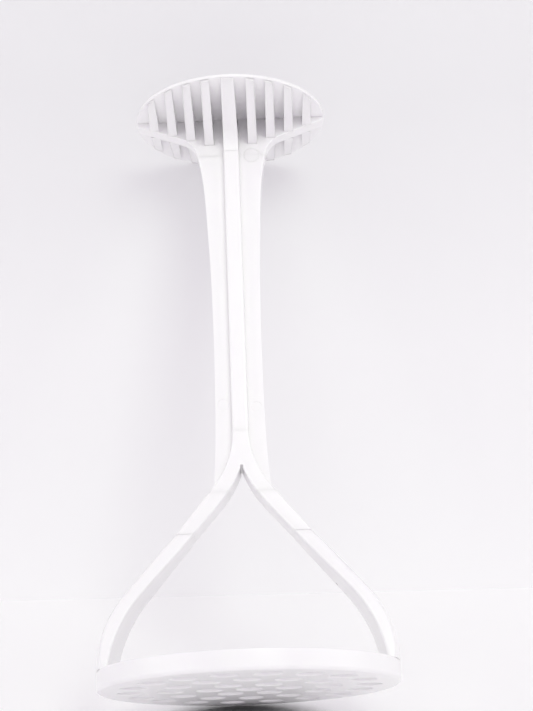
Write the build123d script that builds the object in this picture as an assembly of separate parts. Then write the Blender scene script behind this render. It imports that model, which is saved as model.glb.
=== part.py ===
from build123d import *
import os
from math import cos, hypot, radians, sin, sqrt, tan

# A one-piece moulded potato masher, standing upright on its mashing plate.
# Millimetres. +Z is up, X runs from leg to leg, -Y is the front.
# The origin is the centre of the mashing plate's underside.
# The moulding is written out as its own elements. Each is a closed solid, and
# neighbours meet face to face at the moulding's root lines and witness lines.
# The mould opens front to back, so walls thin out towards both of those sides.

# Overall
overall_height = 200.0

# Mashing plate
head_diameter = 95.0
head_thickness = 6.2
head_lower_bevel = 1.0
head_upper_bevel = 0.6

# Holes: one in the middle, then rings of six, twelve and eighteen
hole_diameter = 7.8
hole_border = 6.4
hole_rings = 3
holes_in_first_ring = 6

# Palm disc
palm_diameter = 66.2
palm_edge_thickness = 1.1
palm_crown = 1.6
palm_edge_bevel = 0.3

# Spine of the handle, front to back
spine_thickness = 5.3
spine_depth = 12.4
spine_edge_bevel = 0.6

# Wings of the handle and web under the palm, side to side
wing_thickness = 5.2
wing_edge_bevel = 0.4
wing_foot_angle = 5.0
wing_waist_width = 15.9
wing_shoulder_width = 18.0
wing_neck_width = 23.6
web_corner_width = 26.1
web_corner_depth = 8.4
web_corner_radius = 8.4
web_rim_depth = 1.2
web_setback = 0.3

# Keel: the middle rib under the palm, which flares into the spine
keel_tip_thickness = 4.4
keel_corner_depth = 9.0
keel_corner_radius = 6.5
keel_rim_depth = 0.4

# The witness line at the neck, below the palm disc
neck_drop = 13.8

# Side ribs under the palm
ribs_per_quarter = 4
first_rib_offset = 7.6
last_rib_border = 6.3
rib_root_thickness = 3.2
rib_tip_thickness = 2.3
rib_rim_depth = 0.4
rib_edge_bevel = 0.3
rib_setback = 0.8

# Crotch of the fork, and how far the crown reaches above and below it
crotch_height = 70.7
crown_rise = 11.7
crown_drop = 8.7
crotch_radius = 0.3

# Outer face of a leg: an arc that leaves the spine, then a straight
outer_angle = 39.3
outer_radius = 29.5

# Inner face of a leg: an arc, a straight, an arc, and plumb at the foot
inner_start_angle = 20.2
inner_angle = 41.2
inner_top_radius = 40.4
inner_foot_radius = 43.0
foot_thickness = 4.5

# Upper leg, from the crown down to its witness line
upper_leg_drop = 13.5

# Lower leg: its outer face is round about the middle axis and ends plumb.
# A short flat at its shoulder eases it into the flat face of the upper leg.
bell_angle = 40.7
shoulder_angle = 47.0
bell_foot_radius = 34.0
foot_depth = 29.6
leg_edge_bevel = 0.5

# One overrun for every cutting tool, and one tolerance for finding edges
overrun = 5.0
same_place = 0.001

# Share of a run that the radius of a corner may use
corner_share = 0.95

# Depth of a rib where it leaves the web, as a share of the web's own depth there
rib_depth_share = 0.93

# Where a wing is narrowest and fullest, as shares of its run from the leg to the neck
waist_share = 0.38
shoulder_share = 0.76

# Places worked out from the sizes above
head_radius = head_diameter / 2
hole_radius = hole_diameter / 2
hole_pitch = (head_radius - hole_border - hole_radius) / hole_rings
palm_radius = palm_diameter / 2
palm_floor = overall_height - palm_crown - palm_edge_thickness
half_spine = spine_thickness / 2
half_wing = wing_thickness / 2
half_depth = spine_depth / 2
web_reach = palm_radius - web_setback
rib_reach = palm_radius - rib_setback
rib_pitch = (palm_radius - last_rib_border - first_rib_offset) / (ribs_per_quarter - 1)
neck_height = palm_floor - neck_drop
crown_top = crotch_height + crown_rise
crown_bottom = crotch_height - crown_drop
leg_line = crown_bottom - upper_leg_drop
neck_root = Vector(half_spine, neck_height)
neck_point = Vector(wing_neck_width / 2, neck_height)
web_corner = Vector(web_corner_width / 2, palm_floor - web_corner_depth)
web_tip = Vector(web_reach, palm_floor - web_rim_depth)
keel_neck = Vector(half_depth, neck_height)
keel_corner = Vector(half_depth, palm_floor - keel_corner_depth)
keel_tip = Vector(rib_reach, palm_floor - keel_rim_depth)

STANDING = (Align.CENTER, Align.CENTER, Align.MIN)


# Helpers
def save(shape, name):
    """Write one element to its own file."""
    shape.label = name
    export_step(shape, f"parts/{name}.step")


def save_pair(shape, name):
    """Write a right-hand element and its mirror on the left."""
    save(shape, name.format("right"))
    save(mirror(shape, about=Plane.YZ), name.format("left"))


def slab(z_low, z_high):
    """A block that holds everything between two heights."""
    side = 2 * (head_diameter + overrun)
    return Pos(0, 0, z_low) * Box(side, side, z_high - z_low, align=STANDING)


def right_half():
    """A block that holds everything right of the middle plane."""
    side = 2 * overall_height
    return Pos(side / 2, 0, 0) * Box(side, side, side)


def under_palm(reach):
    """The round space below the palm disc, out to a distance from the middle."""
    height = palm_floor - neck_height
    return Pos(0, 0, neck_height) * Cylinder(reach, height, align=STANDING)


def corner_fit(radius, before, corner, after):
    """A corner's radius, kept within the two runs that meet there."""
    turn = (corner - before).get_angle(after - corner)
    room = min((corner - before).length, (after - corner).length) * corner_share
    return min(radius, room / tan(radians(turn / 2)))


def rounded(outline, places, radius):
    """Round the corners of an outline that lie at the given places."""
    corners = []
    for vertex in outline.vertices():
        if min((Vector(vertex) - place).length for place in places) < same_place:
            corners.append(vertex)
    return fillet(corners, radius)


def rising_edges(solid, distance):
    """The edges that climb at one distance from the middle, front and back."""
    found = []
    for edge in solid.edges():
        climbs = edge.bounding_box().size.Z > same_place
        if climbs and abs(abs(edge.center().Y) - distance) < same_place:
            found.append(edge)
    return found


def heading(angle):
    """Direction of a run that leans out by an angle as it goes down."""
    return Vector(sin(radians(angle)), -cos(radians(angle)))


def down_to_foot(start, angle, foot_radius, x_end):
    """A straight run down and out, an arc, and a plumb run to below the foot."""
    x_bend = x_end - foot_radius * (1 - cos(radians(angle)))
    bend = start + heading(angle) * ((x_bend - start.X) / sin(radians(angle)))
    arc = JernArc(bend, heading(angle), foot_radius, -angle)
    sole = min((arc @ 1).Y, 0) - overrun
    return [Line(start, bend), arc, Line(arc @ 1, (x_end, sole))]


# Mashing plate
def mash_plate():
    """The perforated disc, with softened edges."""
    disc = Cylinder(head_radius, head_thickness, align=STANDING)
    disc = chamfer(disc.edges().filter_by(GeomType.CIRCLE).sort_by(Axis.Z)[0], head_lower_bevel)
    disc = chamfer(disc.edges().filter_by(GeomType.CIRCLE).sort_by(Axis.Z)[-1], head_upper_bevel)
    pin = Cylinder(hole_radius, head_thickness, align=STANDING)
    places = [Pos(0, 0, 0)]
    for ring in range(1, hole_rings + 1):
        count = holes_in_first_ring * ring
        # odd rings straddle the front, even rings start on it
        first = 180 / count if ring % 2 else 0
        for step in range(count):
            angle = radians(first + step * 360 / count - 90)
            reach = ring * hole_pitch
            places.append(Pos(reach * cos(angle), reach * sin(angle), 0))
    return disc - [place * pin for place in places]


# Fork and legs
def outer_arc():
    """Where the outer face of the right leg leaves the side of the spine."""
    start = Vector(half_spine, crown_top)
    return JernArc(start, heading(0), outer_radius, outer_angle)


def inner_face():
    """The inner face of the right leg, from the crotch to below the foot."""
    start = Vector(0, crotch_height)
    turn = inner_angle - inner_start_angle
    arc = JernArc(start, heading(inner_start_angle), inner_top_radius, turn)
    x_end = head_radius - foot_thickness
    return [arc] + down_to_foot(arc @ 1, inner_angle, inner_foot_radius, x_end)


def outer_point(height):
    """A point of the outer face's straight run, at a height."""
    start = outer_arc() @ 1
    return start + heading(outer_angle) * ((start.Y - height) / cos(radians(outer_angle)))


def upper_frame():
    """Spine, crown and upper legs in one, with their long edges softened."""
    inner = inner_face()
    sole = inner[-1] @ 1
    outer_end = outer_point(sole.Y)
    outline = make_face([
        *inner,
        Line(sole, outer_end),
        Line(outer_end, outer_arc() @ 1),
        outer_arc(),
        Line(outer_arc() @ 0, neck_root),
        Line(neck_root, (0, neck_height)),
        Line((0, neck_height), inner[0] @ 0),
    ])
    outline += mirror(outline, about=Plane.YZ)
    outline = rounded(outline, [inner[0] @ 0], crotch_radius)
    frame = extrude(Plane.XZ * outline, half_depth, both=True)
    frame &= slab(leg_line, neck_height)
    return chamfer(rising_edges(frame, half_depth), spine_edge_bevel)


def bell():
    """The round space within the outer faces of both lower legs."""
    front_edge = outer_point(leg_line)
    shoulder = Vector(hypot(front_edge.X, half_depth), leg_line)
    outer = down_to_foot(shoulder, bell_angle, bell_foot_radius, head_radius)
    sole = outer[-1] @ 1
    half = make_face([
        Line((0, leg_line), shoulder),
        *outer,
        Line(sole, (0, sole.Y)),
        Line((0, sole.Y), (0, leg_line)),
    ])
    # half a turn more, so that the seam of the round face is clear of the right leg
    return Rot(0, 0, 180) * revolve(Plane.XZ * half, Axis.Z)


def shoulder():
    """The space inside the flats where the lower legs leave the upper ones."""
    top = outer_point(leg_line)
    end = top + heading(shoulder_angle) * head_diameter
    outline = make_face(Polyline((0, leg_line), top, end, (0, end.Y), close=True))
    return extrude(Plane.XZ * outline, foot_depth, both=True)


def lower_leg():
    """The right lower leg, which widens front to back towards its foot."""
    inner = inner_face()
    sole = inner[-1] @ 1
    outside = make_face([
        *inner,
        Line(sole, (head_diameter, sole.Y)),
        Line((head_diameter, sole.Y), (head_diameter, crotch_height)),
        Line((head_diameter, crotch_height), inner[0] @ 0),
    ])
    half_foot = foot_depth / 2
    profile = make_face(Polyline(
        (-half_depth, leg_line),
        (half_depth, leg_line),
        (half_foot, head_thickness),
        (-half_foot, head_thickness),
        close=True,
    ))
    leg = bell() & extrude(Plane.YZ * profile, head_diameter)
    leg &= extrude(Plane.XZ * outside, foot_depth, both=True)
    long_edges = [edge for edge in leg.edges() if edge.bounding_box().size.Z > same_place]
    return chamfer(long_edges, leg_edge_bevel) & shoulder()


# Wings of the handle and web under the palm
def wing():
    """The right wing, from the leg that it lands on up to the neck line."""
    landing = outer_arc()
    foot = landing @ 1
    run = neck_height - foot.Y
    side = Spline(
        foot,
        (wing_waist_width / 2, foot.Y + run * waist_share),
        (wing_shoulder_width / 2, foot.Y + run * shoulder_share),
        neck_point,
        tangents=[-heading(wing_foot_angle), (web_corner - neck_point).normalized()],
    )
    outline = make_face([
        landing,
        side,
        Line(neck_point, neck_root),
        Line(neck_root, landing @ 0),
    ])
    plate = extrude(Plane.XZ * outline, half_wing, both=True)
    edges = ShapeList(rising_edges(plate, half_wing)).sort_by(SortBy.LENGTH)[-2:]
    return chamfer(edges, wing_edge_bevel)


def web_depth(offset):
    """Depth of the web's lower edge below the palm, at a distance from the middle."""
    fall = (web_tip.Y - web_corner.Y) / (web_tip.X - web_corner.X)
    return web_rim_depth + fall * (web_tip.X - offset)


def web():
    """The right half of the web, which flares from the wing out to the rim."""
    rim = Vector(web_reach, palm_floor)
    outline = make_face(Polyline(
        (half_spine, palm_floor), neck_root, neck_point, web_corner, web_tip, rim, close=True
    ))
    radius = corner_fit(web_corner_radius, neck_point, web_corner, web_tip)
    outline = rounded(outline, [web_corner], radius)
    plate = extrude(Plane.XZ * outline, half_wing, both=True)
    lower = []
    for edge in rising_edges(plate, half_wing):
        middle = edge.position_at(0.5)
        if half_spine + same_place < middle.X < web_reach - same_place:
            lower.append(edge)
    return chamfer(lower, wing_edge_bevel) & under_palm(web_reach)


# Keel and ribs under the palm
def keel():
    """The middle rib, from front to back, which flares into the spine."""
    right = [keel_neck, keel_corner, keel_tip, Vector(rib_reach, palm_floor)]
    left = [Vector(-point.X, point.Y) for point in reversed(right)]
    profile = make_face(Polyline(*right, *left, close=True))
    radius = corner_fit(keel_corner_radius, keel_neck, keel_corner, keel_tip)
    profile = rounded(profile, [right[1], left[-2]], radius)
    half_tip = keel_tip_thickness / 2
    quarter = [(half_tip, rib_reach), (half_spine, half_wing)]
    plan = make_face(Polyline(
        *quarter,
        *[(x, -y) for x, y in reversed(quarter)],
        *[(-x, -y) for x, y in quarter],
        *[(-x, y) for x, y in reversed(quarter)],
        close=True,
    ))
    blank = Pos(0, 0, neck_height) * extrude(plan, palm_floor - neck_height)
    return blank & extrude(Plane.YZ * profile, spine_thickness, both=True) & under_palm(rib_reach)


def palm_rib(offset):
    """A front rib on the right, at a distance from the middle."""
    half_root = rib_root_thickness / 2
    half_tip = rib_tip_thickness / 2
    middle = sqrt(rib_reach**2 - offset**2)
    root_depth = web_depth(offset) * rib_depth_share
    fall = (root_depth - rib_rim_depth) / (middle - half_wing)
    flare = (half_root - half_tip) / (middle - half_wing)
    # the blank is longer and taller than the rib, and is trimmed once it is softened
    extra = rib_reach - middle
    half_end = half_tip - flare * extra
    end_depth = rib_rim_depth - fall * extra
    top = palm_floor + overrun
    plan = make_face(Polyline(
        (offset - half_root, -half_wing),
        (offset + half_root, -half_wing),
        (offset + half_end, -rib_reach),
        (offset - half_end, -rib_reach),
        close=True,
    ))
    profile = make_face(Polyline(
        (-half_wing, top),
        (-half_wing, palm_floor - root_depth),
        (-rib_reach, palm_floor - end_depth),
        (-rib_reach, top),
        close=True,
    ))
    rib = Pos(0, 0, palm_floor - root_depth) * extrude(plan, root_depth + overrun)
    rib &= extrude(Plane.YZ * profile, palm_radius)
    sloping = []
    for edge in rib.edges():
        size = edge.bounding_box().size
        if size.Z > same_place and size.Y > same_place:
            sloping.append(edge)
    return chamfer(sloping, rib_edge_bevel) & under_palm(rib_reach)


# Palm disc
def palm_plate():
    """The round disc that the palm presses, gently crowned on top."""
    edge_top = palm_floor + palm_edge_thickness
    flat_radius = palm_radius - palm_edge_bevel
    blank_top = edge_top - palm_edge_bevel + overrun
    half = make_face(Polyline(
        (0, palm_floor),
        (flat_radius, palm_floor),
        (palm_radius, palm_floor + palm_edge_bevel),
        (palm_radius, edge_top - palm_edge_bevel),
        (palm_radius - overrun, blank_top),
        (0, blank_top),
        close=True,
    ))
    crown_radius = (flat_radius**2 + palm_crown**2) / (2 * palm_crown)
    # the ball lies on its side, which keeps its poles away from the crown
    ball = Pos(0, 0, overall_height - crown_radius) * Rot(90, 0, 0) * Sphere(crown_radius)
    return revolve(Plane.XZ * half, Axis.Z) & ball


def build():
    """Make every element and write it out."""
    os.makedirs("parts", exist_ok=True)

    frame = upper_frame()
    save(frame & slab(crown_top, neck_height), "handle_spine")
    save(frame & slab(crown_bottom, crown_top), "fork_crown")
    save_pair(frame & slab(leg_line, crown_bottom) & right_half(), "leg_{}_upper")
    save_pair(lower_leg(), "leg_{}_lower")
    save(mash_plate(), "mash_plate")

    save_pair(wing(), "handle_wing_{}")
    save_pair(web(), "palm_web_{}")
    save(keel(), "palm_keel")
    for number in range(1, ribs_per_quarter + 1):
        rib = palm_rib(first_rib_offset + (number - 1) * rib_pitch)
        save_pair(rib, f"palm_rib_front_{{}}_{number}")
        save_pair(mirror(rib, about=Plane.XZ), f"palm_rib_back_{{}}_{number}")
    save(palm_plate(), "palm_plate")


build()
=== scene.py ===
"""Looks, studio and photograph view of a one-piece moulded potato masher.

The masher stands upright on its mashing plate in the frame. In the photograph it
leans back against a wall, so the floor and the wall are tilted instead of it.
The pieces are shaped in millimetres and brought to metres when they are finished.
The finishes, the studio and the camera are in metres from the start.
"""

import logging
from dataclasses import dataclass
from enum import Enum
from math import cos, hypot, pi, radians, sin, sqrt, tan

import bmesh
import bpy
from mathutils import Matrix, Vector
from mathutils.geometry import interpolate_bezier

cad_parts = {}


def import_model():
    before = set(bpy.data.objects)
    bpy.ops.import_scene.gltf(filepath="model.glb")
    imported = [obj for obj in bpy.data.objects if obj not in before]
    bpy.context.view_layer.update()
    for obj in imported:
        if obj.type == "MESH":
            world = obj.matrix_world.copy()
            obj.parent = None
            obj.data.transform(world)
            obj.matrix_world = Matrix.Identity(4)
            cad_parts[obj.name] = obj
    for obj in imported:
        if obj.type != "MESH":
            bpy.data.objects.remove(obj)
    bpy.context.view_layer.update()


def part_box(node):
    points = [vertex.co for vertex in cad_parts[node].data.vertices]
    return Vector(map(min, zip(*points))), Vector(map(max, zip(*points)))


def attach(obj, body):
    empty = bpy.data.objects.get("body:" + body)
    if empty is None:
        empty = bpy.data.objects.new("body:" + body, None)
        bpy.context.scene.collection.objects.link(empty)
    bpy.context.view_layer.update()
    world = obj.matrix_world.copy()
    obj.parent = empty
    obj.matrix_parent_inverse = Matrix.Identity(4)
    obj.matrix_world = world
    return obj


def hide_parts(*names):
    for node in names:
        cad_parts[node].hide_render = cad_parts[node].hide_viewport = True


log = logging.getLogger("potato_masher")

MILLIMETRE = 0.001
# closer than this, in millimetres, two places count as one
SAME_PLACE = 0.001
# longer than this, in millimetres, an edge runs along a shape and isn't a sliver
REAL_RUN = 0.02

Point = tuple[float, float]
Range = tuple[float, float]
Triple = tuple[float, float, float]
Stops = tuple[tuple[float, Triple], ...]
Shape = bmesh.types.BMesh
Edges = list[bmesh.types.BMEdge]


class Way(Enum):
    """A way out from the middle, by its sign."""

    @property
    def word(self) -> str:
        """The way as the names of pieces and nodes say it."""
        return self.name.lower()


class Side(Way):
    """The two sides of the masher, by the sign of X."""

    LEFT = -1
    RIGHT = 1


class Face(Way):
    """The two faces that the mould halves shaped, by the sign of Y."""

    FRONT = -1
    BACK = 1


@dataclass(frozen=True)
class Places:
    """Main places of the solids, read from the frame, in millimetres."""

    head_radius: float
    head_top: float
    palm_radius: float
    palm_floor: float
    palm_top: float
    half_spine: float
    half_depth: float
    half_wing: float
    neck: float
    crown_top: float
    crown_bottom: float
    leg_line: float
    wing_foot: float
    half_foot: float
    web_reach: float
    rib_reach: float

    @classmethod
    def from_frame(cls) -> "Places":
        """Read every place from the boxes of the CAD nodes.

        Returns:
            The places.
        """
        boxes = {}
        for node in (
            "mash_plate", "palm_plate", "palm_keel", "handle_spine", "handle_wing_right",
            "fork_crown", "leg_right_upper", "leg_right_lower", "palm_web_right",
        ):
            boxes[node] = [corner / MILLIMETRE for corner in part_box(node)]
        return cls(
            head_radius=boxes["mash_plate"][1].x,
            head_top=boxes["mash_plate"][1].z,
            palm_radius=boxes["palm_plate"][1].x,
            palm_floor=boxes["palm_plate"][0].z,
            palm_top=boxes["palm_plate"][1].z,
            half_spine=boxes["handle_spine"][1].x,
            half_depth=boxes["handle_spine"][1].y,
            half_wing=boxes["handle_wing_right"][1].y,
            neck=boxes["handle_spine"][1].z,
            crown_top=boxes["handle_spine"][0].z,
            crown_bottom=boxes["fork_crown"][0].z,
            leg_line=boxes["leg_right_upper"][0].z,
            wing_foot=boxes["handle_wing_right"][0].z,
            half_foot=boxes["leg_right_lower"][1].y,
            web_reach=boxes["palm_web_right"][1].x,
            rib_reach=boxes["palm_keel"][1].y,
        )


class FacePath:
    """A chain of arcs and straights in the XZ plane, walked downwards."""

    def __init__(self, x: float, z: float, lean: float) -> None:
        """Start at a point, with a lean from plumb in degrees."""
        self.points: list[Point] = [(x, z)]
        self.lean = lean

    def turn(self, radius: float, angle: float, steps: int = 16) -> "FacePath":
        """Follow an arc.

        Args:
            radius: Radius of the arc.
            angle: Turn in degrees, positive when the path leans out more.
            steps: Number of chords.

        Returns:
            The path itself.
        """
        side = 1 if angle > 0 else -1
        x, z = self.points[-1]
        start = radians(self.lean)
        centre = (x + side * radius * cos(start), z + side * radius * sin(start))
        for step in range(1, steps + 1):
            now = start + radians(angle) * step / steps
            point = (centre[0] - side * radius * cos(now), centre[1] - side * radius * sin(now))
            self.points.append(point)
        self.lean += angle
        return self

    def run_to_x(self, x: float) -> "FacePath":
        """Go straight on until a distance from the middle.

        Args:
            x: The distance.

        Returns:
            The path itself.
        """
        x_now, z_now = self.points[-1]
        self.points.append((x, z_now - (x - x_now) / tan(radians(self.lean))))
        return self

    def run_to_z(self, z: float) -> "FacePath":
        """Go straight on until a height.

        Args:
            z: The height.

        Returns:
            The path itself.
        """
        x_now, z_now = self.points[-1]
        self.points.append((x_now + (z_now - z) * tan(radians(self.lean)), z))
        return self

    def x_at(self, z: float) -> float:
        """Read the path at a height.

        Args:
            z: The height.

        Returns:
            The path's distance from the middle there.
        """
        for (x_high, z_high), (x_low, z_low) in zip(self.points, self.points[1:]):
            if z_low - SAME_PLACE <= z <= z_high + SAME_PLACE:
                share = (z_high - z) / max(z_high - z_low, SAME_PLACE)
                return x_high + (x_low - x_high) * min(max(share, 0), 1)
        return self.points[-1][0]

    def between(self, z_low: float, z_high: float) -> list[Point]:
        """Cut a stretch out of the path.

        Args:
            z_low: Height of its lower end.
            z_high: Height of its upper end.

        Returns:
            The points of the stretch from the top down, both ends included.
        """
        inside = [
            (x, z) for x, z in self.points
            if z_low + SAME_PLACE < z < z_high - SAME_PLACE
        ]
        return [(self.x_at(z_high), z_high), *inside, (self.x_at(z_low), z_low)]


class NodeSheet:
    """The nodes of a material or of the world, laid out one by one."""

    def __init__(self, owner: bpy.types.Material | bpy.types.World) -> None:
        """Switch the owner's nodes on.

        Args:
            owner: The material or the world.
        """
        owner.use_nodes = True
        self.nodes = owner.node_tree.nodes
        self.links = owner.node_tree.links

    def feed(self, node: bpy.types.Node, inputs: dict) -> None:
        """Set or link inputs of a node.

        Args:
            node: The node.
            inputs: By an input's name or number, its value or the socket that feeds it.
        """
        for name, value in inputs.items():
            if isinstance(value, bpy.types.NodeSocket):
                self.links.new(value, node.inputs[name])
            else:
                node.inputs[name].default_value = value

    def add(self, kind: str, inputs: dict | None = None, operation: str = "") -> bpy.types.Node:
        """Add a node.

        Args:
            kind: Kind of the node.
            inputs: What its inputs get, as in feed.
            operation: What a math node works out.

        Returns:
            The new node.
        """
        node = self.nodes.new(kind)
        if operation:
            node.operation = operation
        self.feed(node, inputs or {})
        return node

    def ramp(self, share: bpy.types.NodeSocket, stops: Stops) -> bpy.types.NodeSocket:
        """Add a colour ramp.

        Args:
            share: Socket that gives the place along the ramp, from 0 to 1.
            stops: Place and colour of each stop, in rising order.

        Returns:
            The socket that gives the colour.
        """
        node = self.add("ShaderNodeValToRGB", {"Fac": share})
        elements = node.color_ramp.elements
        for spot, colour in stops[1:-1]:
            elements.new(spot)
        for element, (spot, colour) in zip(elements, stops):
            element.position = spot
            element.color = (*colour, 1.0)
        return node.outputs["Color"]


@dataclass(frozen=True)
class WhitePlastic:
    """Glossy white moulded plastic, a little translucent, with a faint lavender tint."""

    name: str = "white_plastic"
    deep: Triple = (0.922, 0.904, 0.928)
    deep_below: float = 0.28
    pale: Triple = (0.942, 0.932, 0.942)
    pale_above: float = 0.52
    cloud_scale: float = 38.0
    cloud_detail: float = 4.0
    flow_scale: float = 160.0
    flow_detail: float = 3.0
    flow_stretch: Triple = (1.0, 1.0, 0.12)
    roughness: Range = (0.24, 0.38)
    grain_scale: float = 900.0
    grain_detail: float = 2.0
    bump_strength: float = 0.35
    bump_distance: float = 0.00006
    ior: float = 1.5
    scatter_weight: float = 0.3
    scatter_radius: Triple = (1.0, 0.95, 1.05)
    scatter_scale: float = 0.0012
    coat_weight: float = 0.25
    coat_roughness: float = 0.12

    @staticmethod
    def noise(
        sheet: NodeSheet, place: bpy.types.NodeSocket, scale: float, detail: float
    ) -> bpy.types.NodeSocket:
        """Add a noise.

        Args:
            sheet: The sheet that it is added to.
            place: Socket that gives the place where the noise is read.
            scale: Scale of the noise.
            detail: Its number of finer layers.

        Returns:
            The socket that gives its level.
        """
        inputs = {"Vector": place, "Scale": scale, "Detail": detail}
        return sheet.add("ShaderNodeTexNoise", inputs).outputs["Fac"]

    def build(self) -> bpy.types.Material:
        """Make the node material.

        Clouds tint it, flow lines vary its gloss, and the flow lines and the grain bump it.

        Returns:
            The material, read from Object coordinates.
        """
        material = bpy.data.materials.new(self.name)
        sheet = NodeSheet(material)
        place = sheet.add("ShaderNodeTexCoord").outputs["Object"]
        clouds = self.noise(sheet, place, self.cloud_scale, self.cloud_detail)
        stops = ((self.deep_below, self.deep), (self.pale_above, self.pale))
        tint = sheet.ramp(clouds, stops)

        stretch = sheet.add("ShaderNodeMapping", {"Vector": place, "Scale": self.flow_stretch})
        flow = self.noise(sheet, stretch.outputs["Vector"], self.flow_scale, self.flow_detail)
        low, high = self.roughness
        gloss = sheet.add("ShaderNodeMapRange", {"Value": flow, "To Min": low, "To Max": high})

        grain = self.noise(sheet, place, self.grain_scale, self.grain_detail)
        both = sheet.add("ShaderNodeMath", {0: grain, 1: flow}, "ADD")
        bump = sheet.add("ShaderNodeBump", {
            "Height": both.outputs["Value"],
            "Strength": self.bump_strength,
            "Distance": self.bump_distance,
        })
        sheet.feed(sheet.nodes["Principled BSDF"], {
            "Base Color": tint,
            "Roughness": gloss.outputs["Result"],
            "Normal": bump.outputs["Normal"],
            "IOR": self.ior,
            "Subsurface Weight": self.scatter_weight,
            "Subsurface Radius": self.scatter_radius,
            "Subsurface Scale": self.scatter_scale,
            "Coat Weight": self.coat_weight,
            "Coat Roughness": self.coat_roughness,
        })
        return material


@dataclass
class Moulding:
    """Common ground of the sub-assemblies: shapes in millimetres become pieces."""

    places: Places
    plastic: bpy.types.Material
    smooth_angle: float = 40.0
    witness_width: float = 0.12
    witness_angle: float = 20.0

    def piece(self, shape: Shape, name: str, *nodes: str) -> bpy.types.Object:
        """Turn a shape into a finished piece.

        Args:
            shape: The closed shape, in millimetres. It is freed.
            name: Name of the piece.
            nodes: CAD nodes that the piece stands for.

        Returns:
            The new object, at the origin, riding on the frame's body.
        """
        bmesh.ops.remove_doubles(shape, verts=shape.verts, dist=SAME_PLACE)
        bmesh.ops.dissolve_degenerate(shape, edges=shape.edges, dist=SAME_PLACE)
        bmesh.ops.recalc_face_normals(shape, faces=shape.faces)
        bmesh.ops.scale(shape, vec=(MILLIMETRE,) * 3, verts=shape.verts)
        open_edges = sum(1 for edge in shape.edges if not edge.is_manifold)
        mesh = bpy.data.meshes.new(name)
        shape.to_mesh(mesh)
        shape.free()
        for polygon in mesh.polygons:
            polygon.use_smooth = True
        mesh.set_sharp_from_angle(angle=radians(self.smooth_angle))
        mesh.materials.append(self.plastic)
        obj = bpy.data.objects.new(name, mesh)
        bpy.context.collection.objects.link(obj)
        weights = obj.modifiers.new("even_faces", "WEIGHTED_NORMAL")
        weights.keep_sharp = True
        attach(obj, "root")
        if nodes:
            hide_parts(*nodes)
        log.info("%s: %d faces, %d open edges", name, len(mesh.polygons), open_edges)
        return obj

    @staticmethod
    def slab(points: list[Point], half: float) -> Shape:
        """Start a shape as a flat slab.

        Args:
            points: Corners (x, z) of its outline, in order.
            half: Half of its thickness, which runs along Y.

        Returns:
            The closed shape.
        """
        shape = bmesh.new()
        face = shape.faces.new([shape.verts.new((x, -half, z)) for x, z in points])
        grown = bmesh.ops.extrude_face_region(shape, geom=[face], use_keep_orig=True)
        verts = [item for item in grown["geom"] if isinstance(item, bmesh.types.BMVert)]
        bmesh.ops.translate(shape, vec=(0, 2 * half, 0), verts=verts)
        return shape

    @staticmethod
    def block(slices: int, cuts: int, on_plane: float = 1e-6) -> Shape:
        """Start a shape as a unit block, cut into slices along Z and into strips along Y.

        Args:
            slices: Cuts across Z.
            cuts: Cuts across Y.
            on_plane: Distance within which a vertex lies on a cut.

        Returns:
            The block, with X from 0 to 1, Y from -1 to 1 and Z from 0 to 1.
        """
        shape = bmesh.new()
        bmesh.ops.create_cube(shape, size=1.0)
        bmesh.ops.translate(shape, vec=(0.5, 0, 0.5), verts=shape.verts)
        bmesh.ops.scale(shape, vec=(1, 2, 1), verts=shape.verts)
        for axis, count in ((2, slices), (1, cuts)):
            low = min(vert.co[axis] for vert in shape.verts)
            high = max(vert.co[axis] for vert in shape.verts)
            for step in range(1, count + 1):
                centre, normal = Vector(), Vector()
                centre[axis] = low + (high - low) * step / (count + 1)
                normal[axis] = 1
                bmesh.ops.bisect_plane(
                    shape, geom=[*shape.verts, *shape.edges, *shape.faces],
                    plane_co=centre, plane_no=normal, dist=on_plane,
                )
        return shape

    @staticmethod
    def circle(shape: Shape, radius: float, steps: int, place: Matrix) -> Edges:
        """Add a round loop of edges.

        Args:
            shape: The shape that gets the loop.
            radius: Radius of the loop.
            steps: Number of its edges.
            place: Place and turn of the loop, which is level to start with.

        Returns:
            The edges of the loop.
        """
        made = bmesh.ops.create_circle(
            shape, cap_ends=False, segments=steps, radius=radius, matrix=place
        )
        return list(dict.fromkeys(edge for vert in made["verts"] for edge in vert.link_edges))

    @staticmethod
    def grow(shape: Shape, edges: Edges) -> tuple[list[bmesh.types.BMVert], Edges]:
        """Extrude a loop of edges on the spot.

        Args:
            shape: The shape that owns the loop.
            edges: Edges of the loop.

        Returns:
            The new loop's vertices, and its edges.
        """
        grown = bmesh.ops.extrude_edge_only(shape, edges=edges)["geom"]
        verts = [item for item in grown if isinstance(item, bmesh.types.BMVert)]
        return verts, [item for item in grown if isinstance(item, bmesh.types.BMEdge)]

    @staticmethod
    def fill(shape: Shape, edges: Edges) -> None:
        """Fill the flat face that a border and the loops inside it leave."""
        bmesh.ops.triangle_fill(shape, use_beauty=True, use_dissolve=False, edges=edges)

    @staticmethod
    def soften(shape: Shape, edges: Edges, width: float, segments: int = 3) -> None:
        """Round a set of edges.

        Args:
            shape: The shape that owns them.
            edges: The edges.
            width: Width of the round.
            segments: Number of its strips, where one makes a flat nick.
        """
        bmesh.ops.bevel(
            shape, geom=edges, offset=width, offset_type="OFFSET", segments=segments,
            profile=0.5, affect="EDGES", material=-1, clamp_overlap=True,
        )

    def witness_line(self, shape: Shape, height: float) -> None:
        """Nick the rim of a flat end, so that a fine line shows where two pieces meet.

        Args:
            shape: The closed shape.
            height: Height of its flat end.
        """
        rim = []
        for edge in shape.edges:
            level = all(abs(vert.co.z - height) < SAME_PLACE for vert in edge.verts)
            if level and edge.calc_face_angle(0) > radians(self.witness_angle):
                rim.append(edge)
        self.soften(shape, rim, self.witness_width, 1)


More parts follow.
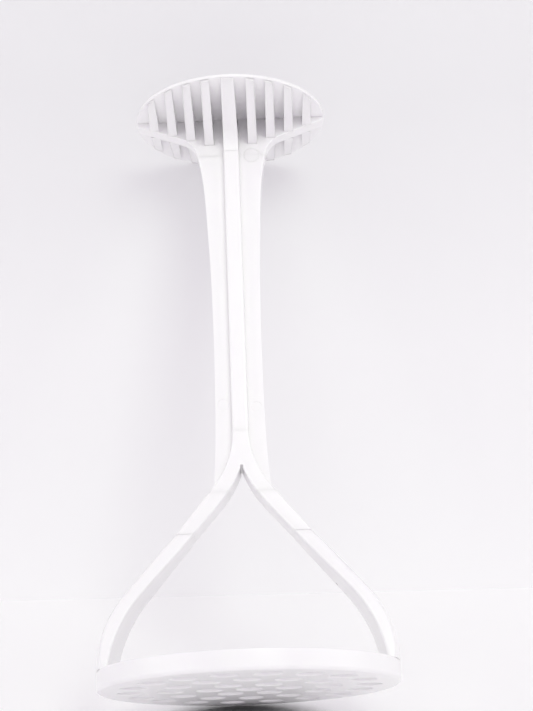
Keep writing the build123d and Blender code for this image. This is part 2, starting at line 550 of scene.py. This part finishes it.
@dataclass
class MashHead(Moulding):
    """The perforated mashing plate."""

    hole_radius: float = 3.8
    mouth_radius: float = 4.1
    border: float = 6.5
    rings: int = 3
    first_ring: int = 6
    lower_round: float = 1.3
    upper_round: float = 0.6
    lip_round: float = 0.45
    upper_lip_round: float = 0.225
    rim_steps: int = 160
    hole_steps: int = 36
    round_steps: int = 4
    upper_lip_steps: int = 2

    def hole_places(self) -> list[Vector]:
        """Place the holes: one in the middle, then rings of 6, 12 and 18.

        Returns:
            The centres of the holes.
        """
        pitch = (self.places.head_radius - self.border - self.hole_radius) / self.rings
        centres = [Vector((0, 0, 0))]
        for ring in range(1, self.rings + 1):
            count = self.first_ring * ring
            first = pi / count if ring % 2 else 0
            for step in range(count):
                angle = first + step * 2 * pi / count - pi / 2
                centres.append(Vector((cos(angle), sin(angle), 0)) * ring * pitch)
        return centres

    def wall(self, shape: Shape, edges: Edges, centre: Vector, rings: list[Point]) -> Edges:
        """Grow a wall from a round edge loop, ring by ring.

        Args:
            shape: The shape that owns the loop.
            edges: Edges of the loop.
            centre: Centre of the loop.
            rings: Radius and height of each new ring.

        Returns:
            The edges of the last ring.
        """
        for radius, height in rings:
            verts, edges = self.grow(shape, edges)
            for vert in verts:
                arm = Vector((vert.co.x - centre.x, vert.co.y - centre.y, 0)).normalized()
                vert.co = centre + arm * radius + Vector((0, 0, height))
        return edges

    @staticmethod
    def quarter(radius: float, side: int, steps: int) -> list[Point]:
        """Follow a quarter round from its flat end to its plumb end.

        Args:
            radius: Radius of the round.
            side: 1 where it turns outwards, and -1 where it turns inwards.
            steps: Number of chords.

        Returns:
            Offsets (out, up) of its points from the flat end, both ends included.
        """
        angles = [pi / 2 * step / steps for step in range(steps + 1)]
        return [(side * radius * sin(angle), radius * (1 - cos(angle))) for angle in angles]

    def build(self) -> None:
        """Build the plate: two pierced faces joined by the rim and the holes' walls."""
        top = self.places.head_top
        low_rim = self.places.head_radius - self.lower_round
        high_rim = self.places.head_radius - self.upper_round
        low_mouth = self.mouth_radius + self.lip_round
        high_mouth = self.hole_radius + self.upper_lip_round
        lower = self.quarter(self.lower_round, 1, self.round_steps)
        upper = self.quarter(self.upper_round, 1, self.round_steps)
        lip = self.quarter(self.lip_round, -1, self.round_steps)
        upper_lip = self.quarter(self.upper_lip_round, -1, self.upper_lip_steps)
        rim_wall = [(low_rim + out, up) for out, up in lower[1:]]
        rim_wall += [(high_rim + out, top - up) for out, up in reversed(upper)]
        hole_wall = [(low_mouth + out, up) for out, up in lip[1:]]
        hole_wall += [(high_mouth + out, top - up) for out, up in reversed(upper_lip)]

        shape = bmesh.new()
        starts = [(Vector(), low_rim, self.rim_steps, rim_wall)]
        for centre in self.hole_places():
            starts.append((centre, low_mouth, self.hole_steps, hole_wall))
        loops = []
        for centre, radius, steps, rings in starts:
            edges = self.circle(shape, radius, steps, Matrix.Translation(centre))
            loops.append((edges, centre, rings))
        self.fill(shape, [edge for edges, centre, rings in loops for edge in edges])
        ends = []
        for edges, centre, rings in loops:
            ends += self.wall(shape, edges, centre, rings)
        self.fill(shape, ends)
        self.piece(shape, "pierced_plate", "mash_plate")


@dataclass
class Fork(Moulding):
    """The crown and the two legs, which spring from the spine."""

    crotch: float = 70.7
    crotch_round: float = 0.5
    outer_radius: float = 29.5
    outer_angle: float = 39.3
    inner_start: float = 20.2
    inner_angle: float = 41.2
    inner_top_radius: float = 40.4
    inner_foot_radius: float = 43.0
    foot_thickness: float = 4.5
    shoulder_angle: float = 47.0
    shoulder_blend: float = 1.2
    bell_angle: float = 40.7
    bell_foot_radius: float = 34.0
    edge_round: float = 0.6
    edge_angle: float = 45.0
    edge_climb: float = 0.05
    slices: int = 32
    strips: int = 9

    def outer_path(self) -> FacePath:
        """Outer face of the right leg, from the spine to the witness line."""
        path = FacePath(self.places.half_spine, self.places.crown_top, 0)
        return path.turn(self.outer_radius, self.outer_angle).run_to_z(self.places.leg_line)

    def inner_path(self) -> FacePath:
        """Lay out the inner face of the right leg.

        Returns:
            The path from the crotch to the plate.
        """
        x_end = self.places.head_radius - self.foot_thickness
        path = FacePath(0, self.crotch, self.inner_start)
        path.turn(self.inner_top_radius, self.inner_angle - self.inner_start)
        path.run_to_x(x_end - self.inner_foot_radius * (1 - cos(radians(self.inner_angle))))
        return path.turn(self.inner_foot_radius, -self.inner_angle)

    def bell_path(self) -> FacePath:
        """Lay out the round outer face of the lower legs.

        Returns:
            The path, as a distance from the middle axis.
        """
        edge = self.outer_path().x_at(self.places.leg_line)
        path = FacePath(hypot(edge, self.places.half_depth), self.places.leg_line, self.bell_angle)
        bend = self.bell_foot_radius * (1 - cos(radians(self.bell_angle)))
        path.run_to_x(self.places.head_radius - bend)
        return path.turn(self.bell_foot_radius, -self.bell_angle).run_to_z(0)

    def soften_rising(self, shape: Shape) -> None:
        """Round the edges that climb between a front or back face and another face.

        Args:
            shape: The closed shape.
        """
        rising = []
        for edge in shape.edges:
            climb = abs(edge.verts[0].co.z - edge.verts[1].co.z)
            if climb > self.edge_climb and edge.calc_face_angle(0) > radians(self.edge_angle):
                rising.append(edge)
        self.soften(shape, rising, self.edge_round)

    def eased(self, bell: float, flat: float) -> float:
        """Pick the smaller of two distances, with a soft change from one to the other.

        Args:
            bell: Distance of the round face.
            flat: Distance of the shoulder.

        Returns:
            The distance of the leg's outer face.
        """
        gap, blend = abs(bell - flat), self.shoulder_blend
        dip = max(blend - gap, 0) ** 2 / (4 * blend)
        return min(bell, flat) - dip

    def crown(self) -> None:
        """Build the crown: two arches that meet above the crotch."""
        outer = self.outer_path().between(self.places.crown_bottom, self.places.crown_top)
        inner = self.inner_path().between(self.places.crown_bottom, self.crotch)
        # the notch is softened by a short flat
        inner[0] = (self.crotch_round * cos(radians(self.inner_start)), self.crotch)
        right = outer + inner[::-1]
        left = [(-x, z) for x, z in reversed(right)]
        shape = self.slab(right + left, self.places.half_depth)
        self.soften_rising(shape)
        self.piece(shape, "crown", "fork_crown")

    def upper_leg(self, side: Side) -> None:
        """Build a straight slanting leg between the crown and the witness line.

        Args:
            side: The leg's side.
        """
        outer = self.outer_path().between(self.places.leg_line, self.places.crown_bottom)
        inner = self.inner_path().between(self.places.leg_line, self.places.crown_bottom)
        points = [(side.value * x, z) for x, z in outer + inner[::-1]]
        shape = self.slab(points, self.places.half_depth)
        self.soften_rising(shape)
        self.witness_line(shape, self.places.leg_line)
        self.piece(shape, f"upper_leg_{side.word}", f"leg_{side.word}_upper")

    def lower_leg(self, side: Side) -> None:
        """Build a leg that widens front to back, with a round outer face.

        Args:
            side: The leg's side.
        """
        inner, bell = self.inner_path(), self.bell_path()
        foot, line = self.places.head_top, self.places.leg_line
        edge = self.outer_path().x_at(line)
        ease = tan(radians(self.shoulder_angle))
        shape = self.block(self.slices, self.strips)
        for vert in shape.verts:
            height = foot + (line - foot) * vert.co.z
            half = self.places.half_foot
            half += (self.places.half_depth - self.places.half_foot) * vert.co.z
            y = vert.co.y * half
            near = inner.x_at(height)
            far = self.eased(sqrt(bell.x_at(height) ** 2 - y**2), edge + (line - height) * ease)
            vert.co = (near + (far - near) * vert.co.x, y, height)
        self.soften_rising(shape)
        self.witness_line(shape, line)
        bmesh.ops.scale(shape, vec=(side.value, 1, 1), verts=shape.verts)
        self.piece(shape, f"lower_leg_{side.word}", f"leg_{side.word}_lower")

    def build(self) -> None:
        """Build the crown and both legs."""
        self.crown()
        for side in Side:
            self.upper_leg(side)
            self.lower_leg(side)


@dataclass(frozen=True)
class Flare:
    """How the wings widen into the web under the palm, in millimetres."""

    neck_width: float = 23.6
    corner_width: float = 26.1
    corner_depth: float = 8.4

    def neck(self, places: Places) -> Vector:
        """Outer corner (x, z) where a wing meets the web."""
        return Vector((self.neck_width / 2, places.neck))

    def corner(self, places: Places) -> Vector:
        """Corner (x, z) where the web turns out under the palm."""
        return Vector((self.corner_width / 2, places.palm_floor - self.corner_depth))


@dataclass(frozen=True)
class PressMark:
    """A round ejector mark on a flat front face, at (x, z)."""

    x: float
    z: float
    radius: float


@dataclass
class Handle(Moulding):
    """The spine and the two wings of the handle."""

    flare: Flare = Flare()
    spine_round: float = 0.6
    spine_segments: int = 4
    wing_round: float = 0.45
    foot_lean: float = 5.0
    waist_width: float = 15.9
    waist_share: float = 0.38
    shoulder_width: float = 18.0
    shoulder_share: float = 0.76
    side_steps: int = 16
    left_mark: PressMark = PressMark(-5.5, 92.2, 1.9)
    right_mark: PressMark = PressMark(5.5, 91.0, 1.9)
    mark_steps: int = 40
    mark_profile: tuple[Point, ...] = ((0.06, 0.10), (0.20, 0.12), (0.38, 0.05))
    neck_mark: PressMark = PressMark(7.0, 183.3, 2.6)
    neck_mark_steps: int = 48
    bead_radius: float = 0.16
    bead_rise: float = 0.06
    bead_steps: int = 10

    def spine(self) -> None:
        """Build the straight middle bar, rounded along its four edges."""
        half = self.places.half_spine
        low, high = self.places.crown_top, self.places.neck
        points = [(-half, low), (half, low), (half, high), (-half, high)]
        shape = self.slab(points, self.places.half_depth)
        plumb = [
            edge for edge in shape.edges
            if abs(edge.verts[0].co.z - edge.verts[1].co.z) > SAME_PLACE
        ]
        self.soften(shape, plumb, self.spine_round, self.spine_segments)
        self.witness_line(shape, high)
        self.piece(shape, "spine", "handle_spine")

    def side_line(self, foot: Point) -> list[Point]:
        """Lay out the curved outer side of a wing.

        Args:
            foot: Point (x, z) where the wing leaves the leg.

        Returns:
            The points of the side, from the foot up to the neck.
        """
        run = self.places.neck - foot[1]
        knots = [
            Vector(foot),
            Vector((self.waist_width / 2, foot[1] + run * self.waist_share)),
            Vector((self.shoulder_width / 2, foot[1] + run * self.shoulder_share)),
            self.flare.neck(self.places),
        ]
        lean = radians(self.foot_lean)
        ways = [Vector((-sin(lean), cos(lean)))]
        ways += [(knots[i + 1] - knots[i - 1]).normalized() for i in (1, 2)]
        ways.append((self.flare.corner(self.places) - knots[3]).normalized())
        points = []
        for i in range(3):
            reach = (knots[i + 1] - knots[i]).length / 3
            points += interpolate_bezier(
                knots[i], knots[i] + ways[i] * reach, knots[i + 1] - ways[i + 1] * reach,
                knots[i + 1], self.side_steps,
            )[:-1]
        return [(point.x, point.y) for point in (*points, knots[3])]

    def press(self, shape: Shape, mark: PressMark) -> None:
        """Sink a round ejector mark into the flat front of a wing.

        Args:
            shape: The wing's closed shape.
            mark: The mark, which lies within its front.
        """
        bmesh.ops.recalc_face_normals(shape, faces=shape.faces)
        fronts = [face for face in shape.faces if face.normal.y < 0]
        front = max(fronts, key=lambda face: face.calc_area())
        border = list(front.edges)
        centre = Vector((mark.x, front.verts[0].co.y, mark.z))
        bmesh.ops.delete(shape, geom=[front], context="FACES_ONLY")
        upright = Matrix.Rotation(radians(90), 4, "X")
        place = Matrix.Translation(centre) @ upright
        edges = self.circle(shape, mark.radius, self.mark_steps, place)
        self.fill(shape, border + edges)
        for inset, sink in self.mark_profile:
            verts, edges = self.grow(shape, edges)
            for vert in verts:
                arm = Vector((vert.co.x - centre.x, 0, vert.co.z - centre.z)).normalized()
                vert.co = centre + arm * (mark.radius - inset) + Vector((0, sink, 0))
        bmesh.ops.contextual_create(shape, geom=edges)

    def wing(self, side: Side, landing: FacePath) -> None:
        """Build a thin wing that lands on a leg and flares towards the palm.

        Args:
            side: The wing's side.
            landing: Outer face of the leg.
        """
        land = landing.between(self.places.wing_foot, self.places.crown_top)
        points = land + self.side_line(land[-1])[1:] + [(self.places.half_spine, self.places.neck)]
        shape = self.slab([(side.value * x, z) for x, z in points], self.places.half_wing)
        rim = []
        for edge in shape.edges:
            middle = (edge.verts[0].co + edge.verts[1].co) / 2
            flat = abs(edge.verts[0].co.y - edge.verts[1].co.y) < SAME_PLACE
            outside = abs(middle.x) > landing.x_at(middle.z) + REAL_RUN
            if flat and outside and middle.z < self.places.neck - SAME_PLACE:
                rim.append(edge)
        self.soften(shape, rim, self.wing_round)
        self.press(shape, self.right_mark if side is Side.RIGHT else self.left_mark)
        self.piece(shape, f"wing_{side.word}", f"handle_wing_{side.word}")

    def neck_ring(self) -> None:
        """Build the fine bead that an ejector left across the right wing and the web."""
        mark, depth = self.neck_mark, self.places.half_wing + self.bead_rise - self.bead_radius
        shape = bmesh.new()
        made = bmesh.ops.create_circle(
            shape, cap_ends=False, segments=self.bead_steps, radius=self.bead_radius,
            matrix=Matrix.Translation((mark.x + mark.radius, -depth, mark.z)),
        )
        bmesh.ops.spin(
            shape, geom=made["verts"] + list(shape.edges), cent=(mark.x, -depth, mark.z),
            axis=(0, 1, 0), dvec=(0, 0, 0), angle=2 * pi, steps=self.neck_mark_steps,
            use_merge=True, use_duplicate=False,
        )
        self.piece(shape, "neck_ring")

    def build(self, landing: FacePath) -> None:
        """Build the spine, the ring on the right wing, and both wings.

        Args:
            landing: Outer face of a leg, on which a wing lands.
        """
        self.spine()
        self.neck_ring()
        for side in Side:
            self.wing(side, landing)


@dataclass
class PalmGrip(Moulding):
    """The palm disc, with the web, the keel and the side ribs below it."""

    flare: Flare = Flare()
    rim_round: float = 0.3
    rim_steps: int = 4
    edge_thickness: float = 1.1
    crown_steps: int = 10
    turn_steps: int = 144
    corner_radius: float = 8.4
    corner_room: float = 0.95
    corner_steps: int = 10
    web_rim: float = 1.2
    keel_corner: float = 9.0
    keel_radius: float = 6.5
    keel_rim: float = 0.4
    keel_tip: float = 4.4
    rib_count: int = 4
    rib_first: float = 7.6
    rib_border: float = 6.3
    rib_root: float = 3.2
    rib_tip: float = 2.3
    rib_rim: float = 0.4
    rib_share: float = 0.93
    rib_round: float = 0.35
    rib_angle: float = 50.0
    root_margin: float = 1.0

    def disc(self) -> None:
        """Build the palm disc: a thin plate with a rounded rim and a gentle crown."""
        places, edge = self.places, self.rim_round
        rise = places.palm_top - places.palm_floor - self.edge_thickness
        sphere = (places.palm_radius**2 + rise**2) / (2 * rise)
        low = places.palm_floor
        high = low + self.edge_thickness
        reach = places.palm_radius - edge
        profile = [(0, low)]
        for centre_z, start in ((low + edge, -90), (high - edge, 0)):
            for step in range(self.rim_steps + 1):
                angle = radians(start + 90 * step / self.rim_steps)
                profile.append((reach + edge * cos(angle), centre_z + edge * sin(angle)))
        for step in range(1, self.crown_steps):
            x = reach * (1 - step / self.crown_steps)
            profile.append((x, places.palm_top - sphere + sqrt(sphere**2 - x**2)))
        profile.append((0, places.palm_top))
        shape = bmesh.new()
        verts = [shape.verts.new((x, 0, z)) for x, z in profile]
        edges = [shape.edges.new(pair) for pair in zip(verts, verts[1:])]
        bmesh.ops.spin(
            shape, geom=verts + edges, cent=(0, 0, 0), axis=(0, 0, 1), dvec=(0, 0, 0),
            angle=2 * pi, steps=self.turn_steps, use_merge=True, use_duplicate=False,
        )
        self.piece(shape, "palm_disc", "palm_plate")

    def rounded_corner(
        self, before: Vector, corner: Vector, after: Vector, radius: float
    ) -> list[Point]:
        """Lay out an arc that replaces a corner of an outline.

        Args:
            before: The outline's point before the corner.
            corner: The corner.
            after: The outline's point after the corner.
            radius: Radius of the arc, which is less where there is no room for it.

        Returns:
            The points of the arc.
        """
        inward, onward = (before - corner).normalized(), (after - corner).normalized()
        half = inward.angle(onward) / 2
        room = self.corner_room * min((before - corner).length, (after - corner).length)
        radius = min(radius, room * tan(half))
        centre = corner + (inward + onward).normalized() * (radius / sin(half))
        first = corner + inward * (radius / tan(half)) - centre
        last = corner + onward * (radius / tan(half)) - centre
        points = []
        for step in range(self.corner_steps + 1):
            way = first.lerp(last, step / self.corner_steps).normalized()
            points.append(tuple(centre + way * radius))
        return points

    def web_depth(self, offset: float) -> float:
        """Measure how far the web hangs below the palm.

        Args:
            offset: Distance from the middle.

        Returns:
            The depth of the web there.
        """
        reach = self.places.web_reach
        fall = (self.flare.corner_depth - self.web_rim) / (reach - self.flare.corner_width / 2)
        return self.web_rim + fall * (reach - offset)

    @staticmethod
    def to_rim(shape: Shape, limit: float) -> None:
        """Bring the outer end of a rib onto a circle about the middle.

        Args:
            shape: The rib's shape.
            limit: Radius of the circle.
        """
        for vert in shape.verts:
            reach = hypot(vert.co.x, vert.co.y)
            if reach > limit:
                vert.co.x *= limit / reach
                vert.co.y *= limit / reach

    def web(self, side: Side) -> None:
        """Build half of the web, from the neck out to the rim.

        Args:
            side: The half's side.
        """
        places = self.places
        floor = places.palm_floor
        neck, corner = self.flare.neck(places), self.flare.corner(places)
        tip = Vector((places.web_reach, floor - self.web_rim))
        points = [
            (places.half_spine, floor), (places.half_spine, places.neck), tuple(neck),
            *self.rounded_corner(neck, corner, tip, self.corner_radius),
            tuple(tip), (places.web_reach, floor),
        ]
        shape = self.slab([(side.value * x, z) for x, z in points], places.half_wing)
        lower = []
        for edge in shape.edges:
            a, b = edge.verts[0].co, edge.verts[1].co
            runs = abs(a.y - b.y) < SAME_PLACE and abs(a.x - b.x) > REAL_RUN
            if runs and places.neck + SAME_PLACE < (a.z + b.z) / 2 < floor - SAME_PLACE:
                lower.append(edge)
        self.soften(shape, lower, self.rib_round)
        self.to_rim(shape, places.web_reach)
        self.piece(shape, f"web_{side.word}", f"palm_web_{side.word}")

    def keel(self) -> None:
        """Build the middle rib, front to back, thinner towards its two tips."""
        places = self.places
        floor = places.palm_floor
        neck = Vector((places.half_depth, places.neck))
        corner = Vector((places.half_depth, floor - self.keel_corner))
        tip = Vector((places.rib_reach, floor - self.keel_rim))
        bend = self.rounded_corner(neck, corner, tip, self.keel_radius)
        half = [tuple(neck), *bend, tuple(tip), (places.rib_reach, floor)]
        # it is shaped along X and turned along Y at the end
        shape = self.slab(half + [(-x, z) for x, z in reversed(half)], places.half_spine)
        run = places.rib_reach - places.half_wing
        thin = 1 - self.keel_tip / 2 / places.half_spine
        for vert in shape.verts:
            share = max(abs(vert.co.x) - places.half_wing, 0) / run
            vert.co.y *= 1 - thin * share
        lower = []
        for edge in shape.edges:
            a, b = edge.verts[0].co, edge.verts[1].co
            runs = a.y * b.y > 0 and hypot(a.x - b.x, a.z - b.z) > REAL_RUN
            if runs and places.neck + SAME_PLACE < (a.z + b.z) / 2 < floor - SAME_PLACE:
                lower.append(edge)
        self.soften(shape, lower, self.rib_round)
        quarter_turn = Matrix.Rotation(radians(90), 3, "Z")
        bmesh.ops.rotate(shape, cent=(0, 0, 0), matrix=quarter_turn, verts=shape.verts)
        self.to_rim(shape, places.rib_reach)
        self.witness_line(shape, places.neck)
        self.piece(shape, "keel", "palm_keel")

    def under_edges(self, shape: Shape) -> Edges:
        """Find the sharp edges along a side rib's underside.

        Args:
            shape: The rib's shape.

        Returns:
            The edges, without those across the rib, at the palm or at the web.
        """
        root = self.places.half_wing + self.root_margin
        found = []
        for edge in shape.edges:
            a, b = edge.verts[0].co, edge.verts[1].co
            at_palm = min(a.z, b.z) > self.places.palm_floor - SAME_PLACE
            across = abs(a.x - b.x) > SAME_PLACE and abs(a.z - b.z) < SAME_PLACE
            at_web = hypot(*((a + b) / 2).xy) < root
            sharp = edge.calc_face_angle(0) > radians(self.rib_angle)
            if sharp and not (at_palm or across or at_web):
                found.append(edge)
        return found

    def rib(self, number: int, side: Side, face: Face) -> None:
        """Build a side rib that thins and shallows from the web to the rim.

        Args:
            number: Its number, counted from the middle.
            side: Its side.
            face: The face of the web that it stands on.
        """
        places = self.places
        pitch = (places.palm_radius - self.rib_border - self.rib_first) / (self.rib_count - 1)
        offset = self.rib_first + (number - 1) * pitch
        depth = self.web_depth(offset) * self.rib_share
        middle = sqrt(places.rib_reach**2 - offset**2)
        fall = (depth - self.rib_rim) / (middle - places.half_wing)
        shape = self.block(0, 0)
        for vert in shape.verts:
            # in the block: X runs out from the web, Y across, Z up to the palm
            out, across, up = vert.co
            half = self.rib_root + (self.rib_tip - self.rib_root) * out
            x = offset + across * half / 2
            reach = sqrt(places.rib_reach**2 - x**2)
            y = places.half_wing + (reach - places.half_wing) * out
            here = depth - fall * (y - places.half_wing)
            vert.co = (x, y, places.palm_floor - here * (1 - up))
        self.soften(shape, self.under_edges(shape), self.rib_round)
        bmesh.ops.scale(shape, vec=(side.value, face.value, 1), verts=shape.verts)
        where = f"{face.word}_{side.word}_{number}"
        self.piece(shape, f"rib_{where}", f"palm_rib_{where}")

    def build(self) -> None:
        """Build the disc, the keel, the web and all side ribs."""
        self.disc()
        self.keel()
        for side in Side:
            self.web(side)
            for face in Face:
                for number in range(1, self.rib_count + 1):
                    self.rib(number, side, face)


@dataclass(frozen=True)
class StagePaint:
    """Matt pale paint for the floor and the wall, clear when it is seen from behind, darkened by a
    painted contact shadow next to the plate's heel.
    """

    name: str
    stops: Stops
    shadow_reach: float = 0.012
    shadow_samples: int = 8
    shadow_open: Range = (0.15, 0.75)
    shadow_level: float = 0.1
    shadow_edge: Range = (0.042, 0.06)

    def build(self, up: Vector, heel: Vector) -> bpy.types.Material:
        """Make the node material.

        Args:
            up: Direction in which the paint changes.
            heel: Point from which the heights of its stops are counted, and around which the
                painted contact shadow lies.

        Returns:
            The material.
        """
        material = bpy.data.materials.new(self.name)
        sheet = NodeSheet(material)
        sheet.nodes.clear()
        place = sheet.add("ShaderNodeTexCoord").outputs["Object"]
        climb = sheet.add("ShaderNodeVectorMath", {0: place, 1: up}, "DOT_PRODUCT")
        low, high = self.stops[0][0], self.stops[-1][0]
        share = sheet.add("ShaderNodeMapRange", {
            "Value": climb.outputs["Value"],
            "From Min": low + up.dot(heel),
            "From Max": high + up.dot(heel),
        })
        stops = tuple(((height - low) / (high - low), colour) for height, colour in self.stops)
        shade = sheet.ramp(share.outputs["Result"], stops)

        # painted shadow: ambient occlusion darkens the paint close to black in the narrow wedge
        # right under the plate's heel, only within a short distance of the heel
        shadow_occlusion = sheet.add("ShaderNodeAmbientOcclusion", {"Distance": self.shadow_reach})
        shadow_occlusion.samples = self.shadow_samples
        level = sheet.add("ShaderNodeMapRange", {
            "Value": shadow_occlusion.outputs["AO"],
            "From Min": self.shadow_open[0],
            "From Max": self.shadow_open[1],
            "To Min": self.shadow_level,
        })
        apart = sheet.add("ShaderNodeVectorMath", {0: place, 1: heel}, "DISTANCE")
        beyond = sheet.add("ShaderNodeMapRange", {
            "Value": apart.outputs["Value"],
            "From Min": self.shadow_edge[0],
            "From Max": self.shadow_edge[1],
        })
        unshadowed_share = sheet.add(
            "ShaderNodeMath", {0: level.outputs["Result"], 1: beyond.outputs["Result"]}, "MAXIMUM"
        )
        painted_shadow = sheet.add(
            "ShaderNodeVectorMath", {0: shade, "Scale": unshadowed_share.outputs["Value"]}, "SCALE"
        )
        paint = sheet.add("ShaderNodeBsdfDiffuse", {"Color": painted_shadow.outputs["Vector"]})
        clear = sheet.add("ShaderNodeBsdfTransparent")
        mix = sheet.add("ShaderNodeMixShader", {
            "Fac": sheet.add("ShaderNodeNewGeometry").outputs["Backfacing"],
            1: paint.outputs["BSDF"],
            2: clear.outputs["BSDF"],
        })
        sheet.add("ShaderNodeOutputMaterial", {"Surface": mix.outputs["Shader"]})
        return material


@dataclass(frozen=True)
class SoftLamp:
    """A square lamp, placed from the plate's heel along the tilted stage's own directions."""

    name: str
    place: Triple
    power: float
    size: float


@dataclass(frozen=True)
class Studio:
    """Floor, wall, soft lamps and pale surroundings, tilted by the masher's lean."""

    lean: float = 33.0
    swing: float = 5.0
    size: float = 1.1
    floor_stops: Stops = (
        (0.0, (0.985, 0.985, 0.985)),
        (0.2, (0.985, 0.985, 0.985)),
    )
    # painted shade: the wall's paint is lighter near the floor and darker towards the top,
    # standing in for how the light falls on it
    wall_shade_stops: Stops = (
        (0.0, (0.97, 0.97, 0.975)),
        (0.1, (0.93, 0.926, 0.936)),
        (0.2, (0.84, 0.836, 0.85)),
    )
    lamps: tuple[SoftLamp, ...] = (
        SoftLamp("key_lamp", (0.18, -0.6, 0.8), 1.3, 0.3),
        SoftLamp("front_lamp", (0.0, -0.85, 0.5), 0.83, 0.9),
        SoftLamp("left_lamp", (-0.9, -0.35, 0.4), 1.7, 0.8),
        SoftLamp("right_lamp", (0.9, -0.35, 0.4), 1.65, 0.8),
        SoftLamp("high_lamp", (-0.05, -0.45, 1.0), 0.95, 0.6),
    )
    lamp_colour: Triple = (1.0, 1.105, 0.95)
    lamp_aim: Triple = (0.0, 0.0, 0.1)
    room_light: Triple = (1.0, 0.85, 1.05)
    room_strength: float = 0.52
    room_colour: Triple = (0.90, 0.89, 0.91)

    def build(self, places: Places) -> None:
        """Lay the floor under the plate's back edge and the wall behind the palm disc.

        Args:
            places: Main places of the masher.
        """
        lean, swing = radians(self.lean), radians(self.swing)
        behind = Vector((-sin(swing), cos(swing), 0))
        up = Vector((0, 0, cos(lean))) - behind * sin(lean)
        back = Vector((0, 0, sin(lean))) + behind * cos(lean)
        heel = behind * places.head_radius * MILLIMETRE
        rim = (behind * places.palm_radius + Vector((0, 0, places.palm_floor))) * MILLIMETRE
        corner = heel + back * back.dot(rim - heel)
        turn = Matrix((back.cross(up), back, up)).transposed()
        upright = Matrix.Rotation(radians(90), 3, "X")
        # the floor's paint holds a painted contact shadow next to the heel
        floor_paint = StagePaint("floor_paint", self.floor_stops).build(up, heel)
        self.surface("floor", corner - back * self.size, turn, floor_paint)
        # the wall's paint holds painted shade, darker towards the top
        wall_paint_with_shade = StagePaint("wall_paint_with_shade", self.wall_shade_stops).build(up, heel)
        self.surface("wall", corner + up * self.size, turn @ upright, wall_paint_with_shade)
        for lamp in self.lamps:
            self.hang(lamp, turn @ Vector(lamp.place) + heel)
        self.room()

    def surface(self, name: str, centre: Vector, turn: Matrix, paint: bpy.types.Material) -> None:
        """Lay one square of the stage.

        Args:
            name: Its name.
            centre: Its centre.
            turn: How it is turned from level.
            paint: Its paint.
        """
        shape = bmesh.new()
        bmesh.ops.create_grid(shape, x_segments=1, y_segments=1, size=self.size)
        bmesh.ops.rotate(shape, cent=(0, 0, 0), matrix=turn, verts=shape.verts)
        bmesh.ops.translate(shape, vec=centre, verts=shape.verts)
        mesh = bpy.data.meshes.new(name)
        shape.to_mesh(mesh)
        shape.free()
        mesh.materials.append(paint)
        obj = bpy.data.objects.new(name, mesh)
        bpy.context.collection.objects.link(obj)

    def hang(self, lamp: SoftLamp, place: Vector) -> None:
        """Hang a lamp and aim it at the masher.

        Args:
            lamp: The lamp.
            place: Where it hangs.
        """
        data = bpy.data.lights.new(lamp.name, "AREA")
        data.energy = lamp.power
        data.size = lamp.size
        data.color = self.lamp_colour
        obj = bpy.data.objects.new(lamp.name, data)
        obj.location = place
        aim = Vector(self.lamp_aim) - place
        obj.rotation_euler = aim.to_track_quat("-Z", "Y").to_euler()
        bpy.context.collection.objects.link(obj)

    def room(self) -> None:
        """Make pale surroundings: one level to look at, and a lower one that gives light."""
        world = bpy.data.worlds.new("pale_room")
        bpy.context.scene.world = world
        sheet = NodeSheet(world)
        light = sheet.nodes["Background"]
        sheet.feed(light, {"Color": (*self.room_light, 1.0), "Strength": self.room_strength})
        seen = sheet.add("ShaderNodeBackground", {"Color": (*self.room_colour, 1.0)})
        rays = sheet.add("ShaderNodeLightPath").outputs
        looked_at = rays["Is Camera Ray"]
        for other in (rays["Is Glossy Ray"], rays["Is Transmission Ray"]):
            either = sheet.add("ShaderNodeMath", {0: looked_at, 1: other}, "MAXIMUM")
            looked_at = either.outputs["Value"]
        mix = sheet.add("ShaderNodeMixShader", {
            "Fac": looked_at,
            1: light.outputs["Background"],
            2: seen.outputs["Background"],
        })
        sheet.feed(sheet.nodes["World Output"], {"Surface": mix.outputs["Shader"]})


@dataclass(frozen=True)
class PhotoCamera:
    """The camera of the photograph, in the masher's own frame."""

    place: Triple = (0.0100, -0.4719, -0.0534)
    pitch: float = 19.082
    roll: float = 2.173
    yaw: float = 0.814
    lens: float = 75.30
    nearest: float = 0.01

    def build(self) -> None:
        """Make the camera and hand it to the scene."""
        data = bpy.data.cameras.new("photo_camera")
        data.lens = self.lens
        data.clip_start = self.nearest
        camera = bpy.data.objects.new("photo_camera", data)
        camera.location = self.place
        camera.rotation_euler = (radians(90 + self.pitch), radians(self.roll), radians(self.yaw))
        bpy.context.collection.objects.link(camera)
        bpy.context.scene.camera = camera


def main() -> None:
    """Build every sub-assembly, the studio and the camera."""
    logging.basicConfig(level=logging.INFO, format="%(name)s: %(message)s")
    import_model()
    places = Places.from_frame()
    plastic = WhitePlastic().build()
    fork = Fork(places, plastic)
    MashHead(places, plastic).build()
    fork.build()
    Handle(places, plastic).build(fork.outer_path())
    PalmGrip(places, plastic).build()
    Studio().build(places)
    PhotoCamera().build()
    bpy.context.scene.view_settings.view_transform = "Standard"
    bpy.context.view_layer.update()


if __name__ == "__main__":
    main()
